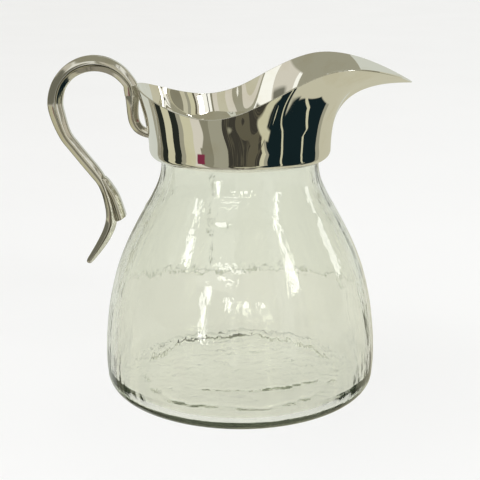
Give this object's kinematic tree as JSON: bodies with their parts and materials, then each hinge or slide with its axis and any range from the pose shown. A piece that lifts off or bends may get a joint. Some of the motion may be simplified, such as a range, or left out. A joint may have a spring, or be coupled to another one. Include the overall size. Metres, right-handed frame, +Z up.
{
  "type": "water pitcher",
  "caption": "Clear blown-glass water pitcher with a polished silver collar, a wide rising pouring spout and an S-scroll handle.",
  "frame": {"origin": "centre of the base ring's resting plane, on the axis of the glass body", "axes": "+Z up along the glass axis, +X towards the spout's tip, -X towards the handle, the handle lies in the XZ plane"},
  "size_m": [0.2262, 0.1764, 0.2131],
  "materials": {
    "glass": "clear hand-blown glass, pale green-grey, rippled",
    "silver": "mirror-polished silver plate, slightly warm",
    "cement": "matt plaster-like cement",
    "seal": "translucent grey silicone, satin"
  },
  "bodies": {
    "root": {"glass_body": "glass", "neck_cement": "cement", "lip_seal": "seal", "collar_spout": "silver", "handle_scroll": "silver", "handle_bracket": "silver", "handle_spur": "silver"}
  },
  "joints": []
}
